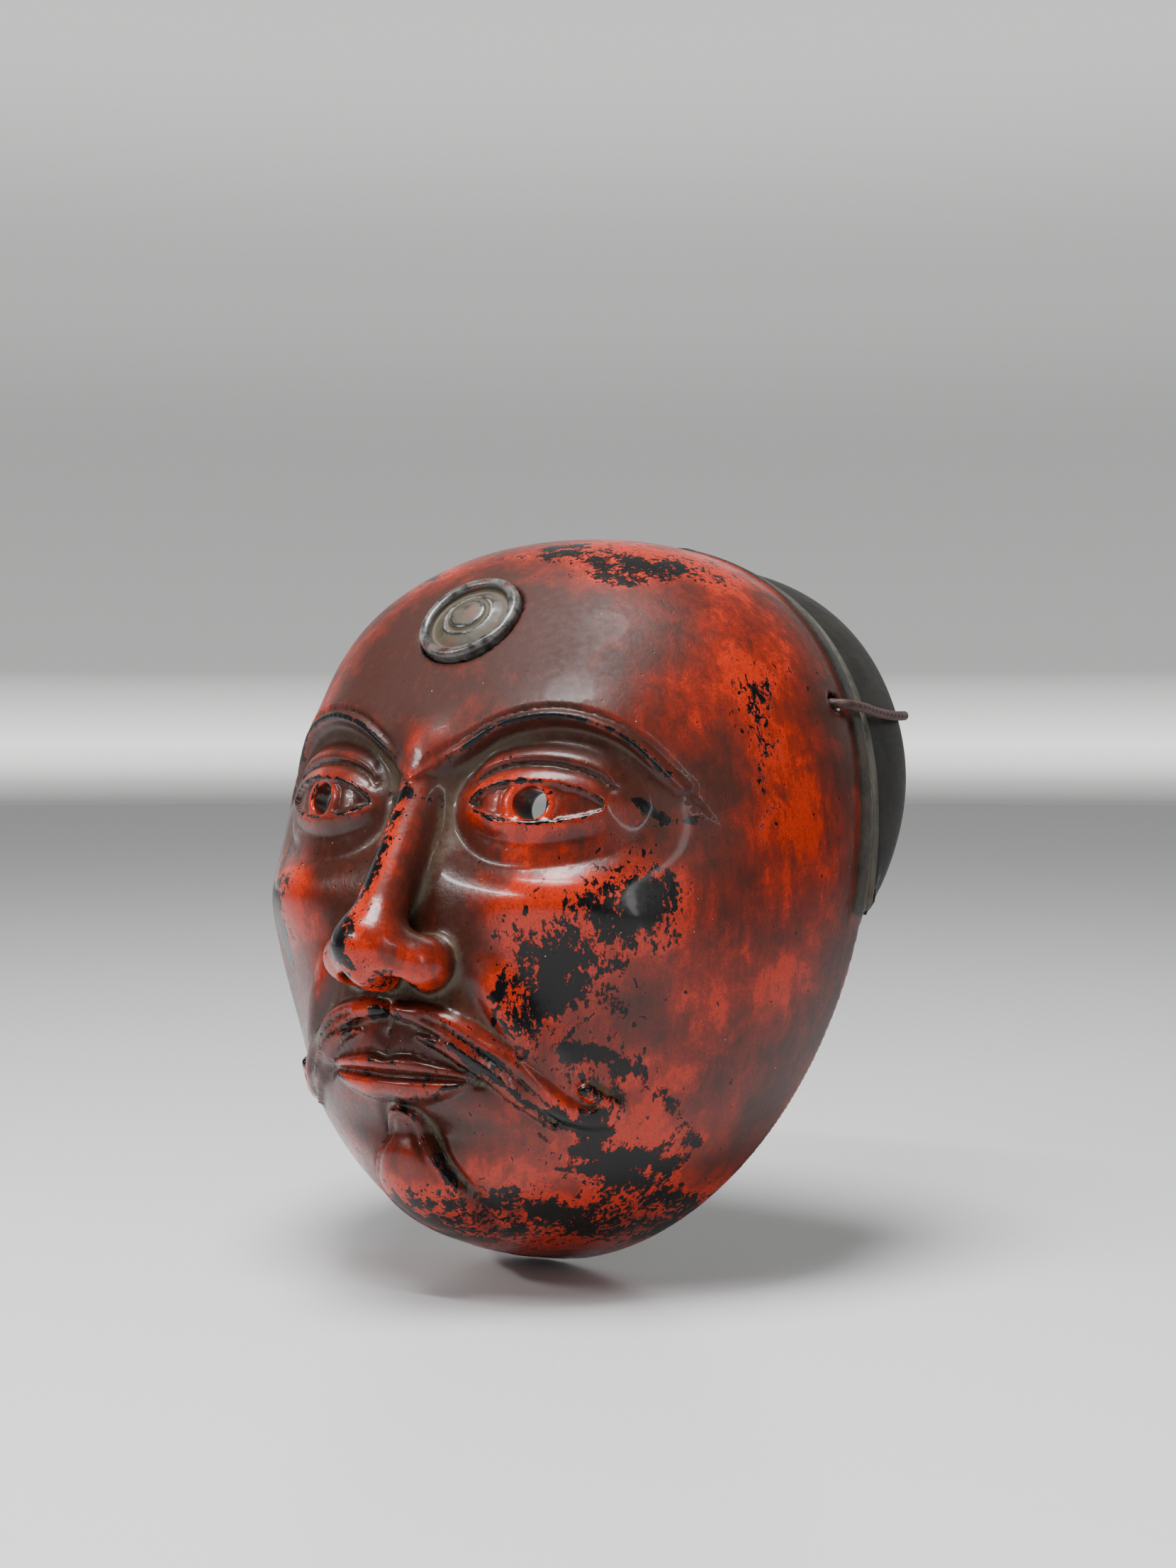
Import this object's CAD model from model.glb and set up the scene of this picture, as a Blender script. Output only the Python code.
"""The looks of a carved stage mask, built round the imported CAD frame.

The face, the crown band, the boss, the cord, its knots and the pads are worked out in millimetres in the
upright frame of the design: x to the mask's left, -y forwards, z up, rim in the plane y = 0. placed()
leans them back and turns them into metres. The bamboo pegs keep the design's own shape.
"""

import itertools
import math

import bmesh
import bpy
import numpy as np
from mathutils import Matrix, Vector


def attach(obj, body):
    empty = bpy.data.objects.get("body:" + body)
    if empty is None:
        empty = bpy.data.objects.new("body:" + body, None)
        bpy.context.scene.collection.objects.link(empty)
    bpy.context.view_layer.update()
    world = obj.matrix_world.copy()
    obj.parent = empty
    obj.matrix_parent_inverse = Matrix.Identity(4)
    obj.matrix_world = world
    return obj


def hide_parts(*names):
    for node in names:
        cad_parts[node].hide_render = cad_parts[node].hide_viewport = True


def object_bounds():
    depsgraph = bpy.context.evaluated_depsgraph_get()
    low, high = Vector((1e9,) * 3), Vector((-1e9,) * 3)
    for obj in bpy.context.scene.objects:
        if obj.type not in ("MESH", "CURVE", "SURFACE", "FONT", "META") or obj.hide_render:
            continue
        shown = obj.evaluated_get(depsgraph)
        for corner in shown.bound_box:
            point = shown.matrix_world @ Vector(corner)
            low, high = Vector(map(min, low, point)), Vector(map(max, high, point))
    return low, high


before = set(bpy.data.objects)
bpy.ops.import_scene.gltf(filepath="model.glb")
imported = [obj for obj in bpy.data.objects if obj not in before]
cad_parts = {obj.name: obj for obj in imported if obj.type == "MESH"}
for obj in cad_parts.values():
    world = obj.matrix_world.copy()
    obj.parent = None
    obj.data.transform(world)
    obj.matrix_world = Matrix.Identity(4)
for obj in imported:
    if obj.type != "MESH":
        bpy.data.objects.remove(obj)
cad_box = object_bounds()

MM = 0.001
LEAN = math.radians(12)

# ---- sizes in millimetres, as in the design ----

MASK_W = 178.0
FACE_D = 89.0
CROWN_H = 95.0
CHIN_H = 113.0
WALL = 8.0
# how square the half-egg is: its level sections, and its outlines from the front and from the side
SECTION = 2.15
CROWN_SIDE, JAW_SIDE = 2.3, 1.9
CROWN_FRONT, CHIN_FRONT = 2.2, 2.8

EYE_X, EYE_Z, EYE_HOLE_R = 34.0, 4.0, 4.2
NOSE_Z = -46.0
NOSTRIL_R, NOSTRIL_RISE = 3.0, math.radians(48)
MOUTH_Z = -68.0
BOSS_Z, BOSS_R, BOSS_SUNK, BOSS_OUT = 56.0, 15.0, 2.5, 2.0
BAND_D, BAND_STEP, BAND_END_Z, BAND_TAPER, BAND_END_D = 36.0, 1.2, -10.0, 58.0, 3.0
BAND_RISE, RISE_START = 0.3, 8.0
RIDGE_H, RIDGE_W = 0.8, 8.6
CORD_D, CORD_HOLE_R, CORD_Z, CORD_HOLE_Y = 2.8, 2.6, 46.0, 13.0
KNOT_W, KNOT_R = 10.0, 4.6
PAD_GAP = 0.6

CORD_HALF_ROUTE = [
    (67.5, -13, 46), (73, -13, 46), (78.5, -13, 46), (82, -12.4, 46), (83.6, -10.4, 46.2), (83.9, -6, 46.7),
    (83.5, 0, 47.4), (83, 4, 47.3), (82, 12, 46.5), (81.1, 21, 45.4), (80, 29, 44.8), (77.9, 35.2, 44.4),
    (74, 38.6, 44), (66, 39.9, 43.4), (54, 40.8, 42.2), (41, 41.6, 41), (27, 42.2, 40), (13, 42.5, 39.4)]
CORD_MIDDLE = (0, 42.6, 39.2)


def raised(points):
    """Points with what lies behind the rim raised, as the band is."""
    p = np.array(points, float)
    back = np.maximum(p[..., 1], 0)
    p[..., 2] += BAND_RISE * back**2 / (back + RISE_START)
    return p


CORD_ROUTE = raised(CORD_HALF_ROUTE + [CORD_MIDDLE] + [(-x, y, z) for x, y, z in reversed(CORD_HALF_ROUTE)])


def leaned(points, angle):
    """Points turned about x, so that what lies above goes back."""
    p = np.asarray(points, float)
    c, s = math.cos(angle), math.sin(angle)
    return np.stack([p[..., 0], p[..., 1] * c + p[..., 2] * s, p[..., 2] * c - p[..., 1] * s], -1)


def placed(points):
    """Points of the upright frame, in millimetres, as the mask stands, in metres."""
    return leaned(points, LEAN) * MM


def upright(points):
    """Points in metres, as the mask stands, back in the upright frame in millimetres."""
    return leaned(np.asarray(points, float) / MM, -LEAN)


# ---- curves ----


def ease(t):
    """From 0 to 1 as t does, starting and ending gently."""
    t = np.clip(t, 0, 1)
    return t * t * (3 - 2 * t)


def swell(dx, dz, rx, rz):
    """1 in the middle of a soft mound with these half widths and half heights."""
    return np.exp(-(dx / rx) ** 2 - (dz / rz) ** 2)


def crest(d, width):
    """1 where d is 0, falling off to both sides."""
    return np.exp(-(d / width) ** 2)


def arch(d, half):
    """1 where d is 0, falling to 0 at half on both sides."""
    return np.clip(1 - (d / half) ** 2, 0, 1)


def bowed(t, margin, power=1.0):
    """A bow over t from 0 to 1, which stays level within the margin of each end."""
    return np.sin(np.pi * np.clip(t, margin, 1 - margin)) ** power


def signed_pow(b, e):
    """A power of b's size, with b's sign."""
    return np.sign(b) * np.abs(b) ** e


def unit(v):
    """Vectors in the same directions, of length 1."""
    return v / np.maximum(np.linalg.norm(v, axis=-1, keepdims=True), 1e-9)


def fall(s, e):
    """From 1 to 0 as s goes from 0 to 1, along a curve that is squarer the higher e is."""
    return np.maximum(1 - np.abs(s) ** e, 1e-9) ** (1 / e)


def outline(z, inset, middle, below, above):
    """The half-egg's reach at height z: middle less inset at z = 0, with an exponent below and one above."""
    h = np.where(z < 0, CHIN_H, CROWN_H) - inset
    s = np.minimum(np.abs(z) / h, 0.9999)
    return (middle - inset) * np.where(z < 0, fall(s, below), fall(s, above))


def half_width(z, inset=0.0):
    """The half-egg's reach sideways."""
    return outline(z, inset, MASK_W / 2, JAW_SIDE, CROWN_SIDE)


def depth(z, inset=0.0):
    """The half-egg's reach forwards."""
    return outline(z, inset, FACE_D, CHIN_FRONT, CROWN_FRONT)


def egg(v, a, inset=0.0):
    """Points on the half-egg at height angles v and side angles a, in degrees, moved in by inset."""
    s = np.sin(np.radians(v))
    z = np.where(s < 0, CHIN_H - inset, CROWN_H - inset) * s
    x = half_width(z, inset) * signed_pow(np.sin(np.radians(a)), 2 / SECTION)
    y = -depth(z, inset) * signed_pow(np.cos(np.radians(a)), 2 / SECTION)
    return np.stack(np.broadcast_arrays(x, y, z), -1)


# ---- meshes ----


def new_mesh(name, points, faces):
    """A smooth mesh object from points in metres and arrays of faces, each with one number of corners."""
    mesh = bpy.data.meshes.new(name)
    points = np.asarray(points, np.float32)
    faces = [np.asarray(f, np.int32) for f in faces]
    sizes = np.concatenate([np.full(len(f), f.shape[1], np.int32) for f in faces])
    corners = np.concatenate([f.ravel() for f in faces])
    mesh.vertices.add(len(points))
    mesh.vertices.foreach_set("co", points.ravel())
    mesh.loops.add(len(corners))
    mesh.loops.foreach_set("vertex_index", corners)
    mesh.polygons.add(len(sizes))
    mesh.polygons.foreach_set("loop_start", np.concatenate([[0], np.cumsum(sizes)[:-1]]).astype(np.int32))
    mesh.polygons.foreach_set("use_smooth", np.ones(len(sizes), bool))
    mesh.update(calc_edges=True)
    mesh.validate()
    piece = bpy.data.objects.new(name, mesh)
    bpy.context.scene.collection.objects.link(piece)
    return piece


def read(items, name, width, kind=np.float32):
    """One property of a mesh's vertices, edges, loops or faces, as an array."""
    values = np.empty(len(items) * width, kind)
    items.foreach_get(name, values)
    return values.reshape(-1, width) if width > 1 else values


def points_of(piece):
    return read(piece.data.vertices, "co", 3)


def edge_pairs(piece):
    return read(piece.data.edges, "vertices", 2, np.int32).T


def write_attribute(piece, name, values):
    attribute = piece.data.attributes.new(name, "FLOAT", "POINT")
    attribute.data.foreach_set("value", np.asarray(values, np.float32))


def grid_quads(rows, columns, wrap=False):
    """Quads between the points of a grid, stored row by row. With wrap, each row is a closed ring."""
    last = columns if wrap else columns - 1
    i, j = np.meshgrid(np.arange(rows - 1), np.arange(last), indexing="ij")
    k = (j + 1) % columns
    corners = [i * columns + j, i * columns + k, (i + 1) * columns + k, (i + 1) * columns + j]
    return np.stack(corners, -1).reshape(-1, 4)


def outwards(piece):
    """Turns a closed piece's faces outwards."""
    shape = bmesh.new()
    shape.from_mesh(piece.data)
    bmesh.ops.recalc_face_normals(shape, faces=shape.faces)
    shape.to_mesh(piece.data)
    shape.free()


def capped_tube(name, points, around, ends):
    """A closed piece from rings of points in the upright frame and a point that closes each end."""
    n = len(points)
    j = np.arange(around)
    k = (j + 1) % around
    first = np.stack([k, j, np.full(around, n)], -1)
    last = np.stack([j + n - around, k + n - around, np.full(around, n + 1)], -1)
    quads = grid_quads(n // around, around, wrap=True)
    piece = new_mesh(name, placed(np.vstack([points, *ends])), [first, last, quads])
    outwards(piece)
    return piece


def apply_modifiers(piece):
    """Gives the piece the mesh that its modifiers make of it."""
    view = bpy.context.evaluated_depsgraph_get()
    mesh = bpy.data.meshes.new_from_object(piece.evaluated_get(view))
    piece.modifiers.clear()
    piece.data = mesh


def smooth_curve(points, count):
    """Points spaced evenly along a smooth curve through the given points."""
    p = np.asarray(points, float)
    p = np.vstack([2 * p[0] - p[1], p, 2 * p[-1] - p[-2]])
    t = np.linspace(0, len(p) - 3, 12 * len(p))
    i = np.minimum(t.astype(int), len(p) - 4)
    u = (t - i)[:, None]
    a, b, c, d = p[i], p[i + 1], p[i + 2], p[i + 3]
    fine = 0.5 * (2 * b + (c - a) * u + (2 * a - 5 * b + 4 * c - d) * u**2 + (3 * b - a - 3 * c + d) * u**3)
    run = np.concatenate([[0], np.cumsum(np.linalg.norm(np.diff(fine, axis=0), axis=1))])
    want = np.linspace(0, run[-1], count)
    return np.stack([np.interp(want, run, fine[:, k]) for k in range(p.shape[1])], -1)


# ---- relief of the face, as a height forwards over x and z ----


class Relief:
    """Height of the carving in front of the half-egg, and how strongly a dark line is worn into it, on a
    grid over half the face."""

    STEP = 0.5
    LOW = (0.0, -118.0)
    HIGH = (92.0, 100.0)
    DEEPEST = 5.6       # of the hollows, so that the wall stays sound
    AWAY = 9.0          # added to a distance where its line isn't wanted

    def __init__(self):
        xs = np.arange(self.LOW[0], self.HIGH[0], self.STEP)
        zs = np.arange(self.LOW[1], self.HIGH[1], self.STEP)
        self.x, self.z = np.meshgrid(xs, zs, indexing="ij")
        self.line = np.zeros_like(self.x)
        forms = (self.broad_forms, self.eyes, self.lips, self.moustache, self.tuft, self.brows)
        self.height = sum(form() for form in forms)
        side = np.degrees(np.arcsin(np.clip(self.x / half_width(self.z), 0, 1) ** (SECTION / 2)))
        self.height *= ease((90 - side) / 25)

    def sample(self, values, x, z):
        """values at the given places, between the grid's points."""
        u = np.clip((np.abs(x) - self.LOW[0]) / self.STEP, 0, self.x.shape[0] - 1.001)
        v = np.clip((z - self.LOW[1]) / self.STEP, 0, self.x.shape[1] - 1.001)
        i, j = u.astype(int), v.astype(int)
        u, v = u - i, v - j
        low = values[i, j] * (1 - v) + values[i, j + 1] * v
        high = values[i + 1, j] * (1 - v) + values[i + 1, j + 1] * v
        return low * (1 - u) + high * u

    def beside(self, points):
        """Distance to a smooth curve, positive above it where it runs outwards, and how far along it."""
        c = smooth_curve(points, 60)
        best = np.full(self.x.shape, 1e6)
        where = np.zeros(self.x.shape)
        side = np.zeros(self.x.shape)
        for k, ((ax, az), (bx, bz)) in enumerate(zip(c, c[1:])):
            ex, ez = bx - ax, bz - az
            t = np.clip(((self.x - ax) * ex + (self.z - az) * ez) / (ex * ex + ez * ez), 0, 1)
            dx, dz = self.x - ax - t * ex, self.z - az - t * ez
            d = np.hypot(dx, dz)
            near = d < best
            best = np.where(near, d, best)
            where = np.where(near, (k + t) / (len(c) - 1), where)
            side = np.where(near, np.sign(ex * dz - ez * dx), side)
        return best * side, where

    def mark(self, distance, width, strength):
        """Adds a dark line where distance is near zero."""
        self.line = np.maximum(self.line, strength * crest(distance, width))

    def broad_forms(self):
        """The hollows and swellings of the face, and the fold from the nose past the mouth."""
        forms = [
            # height, middle x and z, half width and half height
            (-9.0, 32, 4, 21, 13),       # eye socket
            (-3.5, 14, 4, 7, 10),        # beside the bridge of the nose
            (2.8, 0, 20, 9, 8),          # between the brows
            (6.5, 45, -21, 21, 12),      # cheekbone
            (-5.0, 53, -54, 16, 18),     # hollow of the cheek
            (-4.0, 67, 24, 13, 20),      # temple
            (5.0, 0, -63, 29, 18),       # round the mouth
            (6.0, 0, -99, 20, 12),       # chin
            (-4.0, 0, -81, 21, 5),       # under the lip
            (1.6, 38, 58, 18, 16),       # forehead
            (-1.2, 0, -54, 2.6, 5)]      # under the nose
        height = sum(h * swell(self.x - x, self.z - z, rx, rz) for h, x, z, rx, rz in forms)
        height = np.where(height < 0, self.DEEPEST * np.tanh(height / self.DEEPEST), height)
        off, t = self.beside([(19, -40), (26, -50), (33, -61), (38, -72)])
        fold = 2.2 * crest(off - 5, 5) - 1.8 * crest(off + 1.5, 3)
        return height + fold * bowed(t, 0.02, 0.6)

    def eyes(self):
        """Eyeball, lids, the crease above them, the bag under them and the ring of the iris."""
        half = 17
        u = self.x - EYE_X
        w = self.z - EYE_Z - 0.05 * u
        bow = arch(u, half)
        upper, lower = 5.3 * bow**0.62, -4.7 * bow**0.85
        inside = np.where(np.abs(u) < half, np.minimum(upper - w, w - lower), -np.hypot(np.abs(u) - half, w))
        ball = 8.2 * np.clip(1 - (u / 25) ** 2 - (w / 17) ** 2, 0, 1) ** 1.3
        lids = 1.9 * ease((0.4 - inside) / 0.8) * np.exp(-(np.maximum(-inside, 0) / 5.5) ** 1.5)
        crease = -1.9 * crest(w - upper - 5.2, 1.0) + 1.6 * crest(w - upper - 8.2, 2.4)
        crease *= ease((20 - np.abs(u)) / 5)
        bag = -0.7 * crest(w - lower + 5.5, 1.6) * ease((18 - np.abs(u)) / 6)
        iris = np.hypot(u, w)
        ring = (0.4 * ease((7.3 - iris) / 0.8) - 0.5 * crest(iris - 7.6, 0.7)) * (inside > 0)
        corner = -1.0 * swell(u + 16, w, 2.5, 1.4)
        self.mark(inside + 0.3, 0.8, 0.9)
        self.mark(w - upper - 5.2 + self.AWAY * (np.abs(u) > 16), 0.8, 0.5)
        return ball + lids + crease + bag + ring + corner

    def brows(self):
        """Swellings that fall off steeply towards the eye, with a line engraved along them."""
        off, t = self.beside([(5.5, 12.5), (12, 17), (24, 24.5), (38, 27.5), (52, 24), (64, 13)])
        above = np.exp(-(np.maximum(off, 0) / 8.5) ** 1.3)
        below = 1 - ease(-off / 2.6)
        line = -0.7 * crest(off - 2.4, 0.75) - 0.28 * crest(off + 4.5, 3)
        self.mark(off - 0.2 + self.AWAY * ((t < 0.04) | (t > 0.96)), 1.3, 1.0)
        return 4.6 * bowed(t, 0.03, 0.45) * (above * below + line * 0.6)

    def lips(self):
        """Closed lips, with a groove between them and a dimple at the corner."""
        x, z = self.x, self.z
        bow = arch(x, 25)
        line = MOUTH_Z + 0.5 * (x / 25) ** 2
        dip = 1 - 0.16 * crest(x, 3) + 0.06 * crest(x - 7, 4)
        top = line + 0.01 + 5.4 * bow**0.7 * dip
        bottom = line - 0.01 - 7.6 * arch(x, 22) ** 0.7
        t = np.clip((z - line) / (top - line), 0, 1.2)
        b = np.clip((line - z) / (line - bottom), 0, 1.2)
        upper = 3.2 * np.sqrt(arch(2 * t - 0.9, 1)) * (z >= line) * bow**0.35
        lower = 4.0 * np.sqrt(arch(2 * b - 0.9, 1)) * (z < line) * bow**0.35
        groove = 1.8 * crest(z - line, 1.1) * ease((27 - x) / 4)
        corner = 1.4 * swell(x - 27, z - MOUTH_Z, 3.5, 3.5)
        self.mark(np.hypot(z - line, np.maximum(x - 24, 0)), 1.2, 0.7)
        self.mark(np.hypot(z - bottom - 1.2, np.maximum(x - 19, 0)), 1.3, 0.8)
        return upper + lower - groove - corner

    def moustache(self):
        """Two strands on each side: one engraved along its middle and curled at its end, and a thin one."""
        off, t = self.beside([
            (2.5, -51.5), (10, -52), (19, -55), (28, -60.5), (36, -67.5), (42, -72.5), (47.5, -73),
            (50, -69.5), (47, -67)])
        half = 2.2 + 2.1 * bowed(t / 0.92, 0.02, 0.8)
        strand = 3.6 * arch(off, half) ** 0.6
        engraved = 1.5 * crest(off + 0.4, 0.7) * ease((t - 0.12) / 0.06) * ease((0.72 - t) / 0.08)
        self.mark(off + half - 0.4 + self.AWAY * (t > 0.86), 1.4, 0.9)
        self.mark(off + 0.4 + self.AWAY * ((t < 0.12) | (t > 0.72)), 0.9, 0.8)
        under, s = self.beside([(10, -57.5), (18, -60), (26, -65), (33, -71), (39, -77)])
        thin = 0.8 + 1.7 * bowed(s, 0.02)
        lower = 2.8 * arch(under, thin) ** 0.6
        self.mark(under + thin + self.AWAY * ((s < 0.05) | (s > 0.95)), 1.0, 0.8)
        return strand - engraved * (np.abs(off) < half) + lower

    def tuft(self):
        """The tuft of beard: wider below, with a groove round it and a line engraved inside its edge."""
        top, bottom = -82.0, -96.0
        t = np.clip((top - self.z) / (top - bottom), 0, 1)
        d = np.hypot(self.x, self.z - (top + (bottom - top) * t)) - (7.0 + 8.0 * t)
        self.mark(d + 0.2, 1.6, 0.75 * ease((self.z + 101) / 14))
        swelling = 3.8 * ease(-d / 2.0) + 1.0 * ease(-d / 9)
        return swelling - 1.4 * crest(d - 1.0, 1.2) - 0.9 * crest(d + 3.4, 0.8)


relief = Relief()

# ---- distance fields ----


def smooth_min(a, b, k):
    """The lesser of two distances, blended over k."""
    h = np.clip(0.5 + 0.5 * (b - a) / k, 0, 1)
    return b + (a - b) * h - k * h * (1 - h)


def ellipsoid(centre, radii):
    """An ellipsoid along the axes."""
    def field(x, y, z):
        p = [(q - c) / r for q, c, r in zip((x, y, z), centre, radii)]
        k = np.sqrt(sum(q**2 for q in p)) + 1e-6
        g = np.sqrt(sum((q / r) ** 2 for q, r in zip(p, radii))) + 1e-6
        return k * (k - 1) / g
    return field


def tapered(start, end, r_start, r_end):
    """A rod with round ends, from one radius to another."""
    a, b = np.array(start, float), np.array(end, float)
    e = b - a

    def field(*place):
        t = sum((q - c) * d for q, c, d in zip(place, a, e)) / e.dot(e)
        t = np.clip(t, 0, 1)
        gap = np.sqrt(sum((q - c - t * d) ** 2 for q, c, d in zip(place, a, e)))
        return gap - r_start - (r_end - r_start) * t
    return field


def disc(centre, axis, radius, low, high):
    """A flat-ended cylinder from low to high along its axis, which is a unit vector."""
    def field(*place):
        along = sum((q - c) * n for q, c, n in zip(place, centre, axis))
        square = sum((q - c) ** 2 for q, c in zip(place, centre)) - along**2
        return np.maximum(np.sqrt(np.maximum(square, 0)) - radius, np.maximum(low - along, along - high))
    return field


class Carving:
    """A block of wood as a distance field over half the mask, in millimetres: negative is wood."""

    ROUNDED_AT = 0.2

    def __init__(self, low, high, step):
        self.low, self.step = np.array(low, float), step
        self.axes = [np.arange(a, b, step, dtype=np.float32) for a, b in zip(low, high)]
        self.x = self.axes[0][:, None, None]
        self.y = self.axes[1][None, :, None]
        self.z = self.axes[2][None, None, :]

    def evened(self, field):
        """The field divided by its slope, so that it is close to a distance near its surface."""
        slope = sum(g * g for g in np.gradient(field, self.step))
        return field / np.maximum(np.sqrt(slope), 0.4)

    def half_egg(self, lift, inset=0.0):
        """A field of the half-egg, with its front moved forwards by lift."""
        zz = self.axes[2]
        w, d = half_width(zz, inset).astype(np.float32), depth(zz, inset).astype(np.float32)
        y = self.y + lift
        reach = ((np.abs(self.x) / w) ** SECTION + (np.abs(y) / d) ** SECTION) ** (1 / SECTION)
        radial = np.sqrt(self.x**2 + y**2) * (1 - 1 / np.maximum(reach, 1e-3))
        # changes nothing but the rounding, which decides what the face's thinning takes away
        radial = radial - self.ROUNDED_AT + self.ROUNDED_AT
        ends = np.maximum(zz - (CROWN_H - inset), -(CHIN_H - inset) - zz)[None, None, :]
        return self.evened(np.maximum(radial, ends))

    def within(self, low, high):
        """The part of the grid between two corners: its slices, and its coordinates."""
        cuts = tuple(slice(*np.searchsorted(a, (p, q))) for a, p, q in zip(self.axes, low, high))
        x, y, z = (a[c] for a, c in zip(self.axes, cuts))
        return cuts, (x[:, None, None], y[None, :, None], z[None, None, :])

    def cut(self, shape, low, high, blend):
        """Takes a shape away between two corners of the grid."""
        cuts, xyz = self.within(low, high)
        self.field[cuts] = -smooth_min(-self.field[cuts], shape(*xyz).astype(np.float32), blend)


def surface_net(field, low, step):
    """A smooth mesh of the field's zero surface: one point in each cell that it crosses."""
    solid = field < 0
    ends = (slice(0, -1), slice(1, None))
    count = sum(solid[corner].astype(np.int8) for corner in itertools.product(ends, repeat=3))
    mixed = (count > 0) & (count < 8)
    cells = np.argwhere(mixed)
    number = np.full(mixed.shape, -1, np.int32)
    number[mixed] = np.arange(len(cells))
    total = np.zeros((len(cells), 3))
    crossings = np.zeros(len(cells))
    for axis, p, q in itertools.product(range(3), (0, 1), (0, 1)):
        a = np.insert([p, q], axis, 0)
        b = np.insert([p, q], axis, 1)
        fa = field[tuple((cells + a).T)]
        fb = field[tuple((cells + b).T)]
        hit = (fa < 0) != (fb < 0)
        spot = np.tile(a.astype(float), (len(cells), 1))
        spot[:, axis] = np.where(hit, fa / np.where(hit, fa - fb, 1), 0)
        total += spot * hit[:, None]
        crossings += hit
    points = np.asarray(low) + step * (cells + total / crossings[:, None])
    quads = []
    for axis in range(3):
        others = [k for k in range(3) if k != axis]
        lower = [slice(1, -1)] * 3
        lower[axis] = slice(0, -1)
        upper = list(lower)
        upper[axis] = slice(1, None)
        starts = np.argwhere(solid[tuple(lower)] != solid[tuple(upper)])
        starts[:, others] += 1
        inner = solid[tuple(starts.T)]
        ring = []
        for p, q in ((-1, -1), (0, -1), (0, 0), (-1, 0)):
            cell = starts.copy()
            cell[:, others] += (p, q)
            ring.append(number[tuple(cell.T)])
        ring = np.stack(ring, -1)
        flip = inner if axis == 1 else ~inner
        ring[flip] = ring[flip][:, ::-1]
        quads.append(ring)
    return points, np.concatenate(quads)


# ---- the face's carving ----

GRAIN = 0.85               # size of a cell of the carving's grid
FACE_TRIANGLES = 194000


def gouge_marks(carving):
    """How far the wood stands above the bottoms of the scoops that a gouge leaves inside the shell."""
    radius, width, length, shift = 70, 7.5, 13, 4.7
    around = np.arctan2(np.abs(carving.x), -carving.y) * radius
    column = np.floor(around / width)
    u = around / width - column
    v = (carving.z + shift * column) / length % 1
    return (0.55 * ((2 * u - 1) ** 2 + 0.5 * (2 * v - 1) ** 2)).astype(np.float32)


def carve_nose(carving):
    """Adds the nose, which blends wider towards the brows, and cuts the nostrils."""
    tip_y = -101.0
    bridge = tapered((0, -84.0, 16), (0, tip_y + 2, -32), 4.6, 7.4)
    tip = ellipsoid((0, tip_y, -36.5), (10.2, 8.8, 8.6))
    wing = ellipsoid((11.0, -91.5, -39.0), (7.4, 10.2, 7.2))
    bottom = ellipsoid((0, -96.5, -43.5), (4.2, 8.5, 4.2))

    def nose(x, y, z):
        shape = smooth_min(bridge(x, y, z), tip(x, y, z), 5)
        shape = smooth_min(shape, wing(x, y, z), 5.5)
        return smooth_min(shape, bottom(x, y, z), 3)

    low, high = (-5, -125, -66), (36, -62, 34)
    cuts, (x, y, z) = carving.within(low, high)
    blend = 2.6 + 5.4 * ease((z + 34) / 26)
    carving.field[cuts] = smooth_min(carving.field[cuts], nose(x, y, z).astype(np.float32), blend)
    rise = np.array([0, math.sin(NOSTRIL_RISE), math.cos(NOSTRIL_RISE)])
    outer = np.array([7.5, -FACE_D - 15, NOSE_Z - 6])
    carving.cut(tapered(outer, outer + 60 * rise, NOSTRIL_R, NOSTRIL_R), (-5, -125, -70), (20, -40, 0), 1.0)
    carving.cut(ellipsoid((7.6, -95.0, -47.0), (3.9, 6.2, 3.8)), (-5, -125, -70), (20, -66, -30), 1.4)


def forehead_normal():
    """The forehead's direction at the boss."""
    rise = (depth(np.array(BOSS_Z - 1)) - depth(np.array(BOSS_Z + 1))) / 2
    return unit(np.array([0.0, -1.0, float(rise)]))


def boss_centre():
    """The point of the half-egg under the middle of the boss."""
    return np.array([0.0, -float(depth(np.array(BOSS_Z))), BOSS_Z])


def rim_ridge(y, z):
    """1 on the raised strip of the shell that the band's lacquer covers, and 0 elsewhere."""
    return ease((y + RIDGE_W) / 1.6) * ease((z + 15) / 8)


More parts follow.
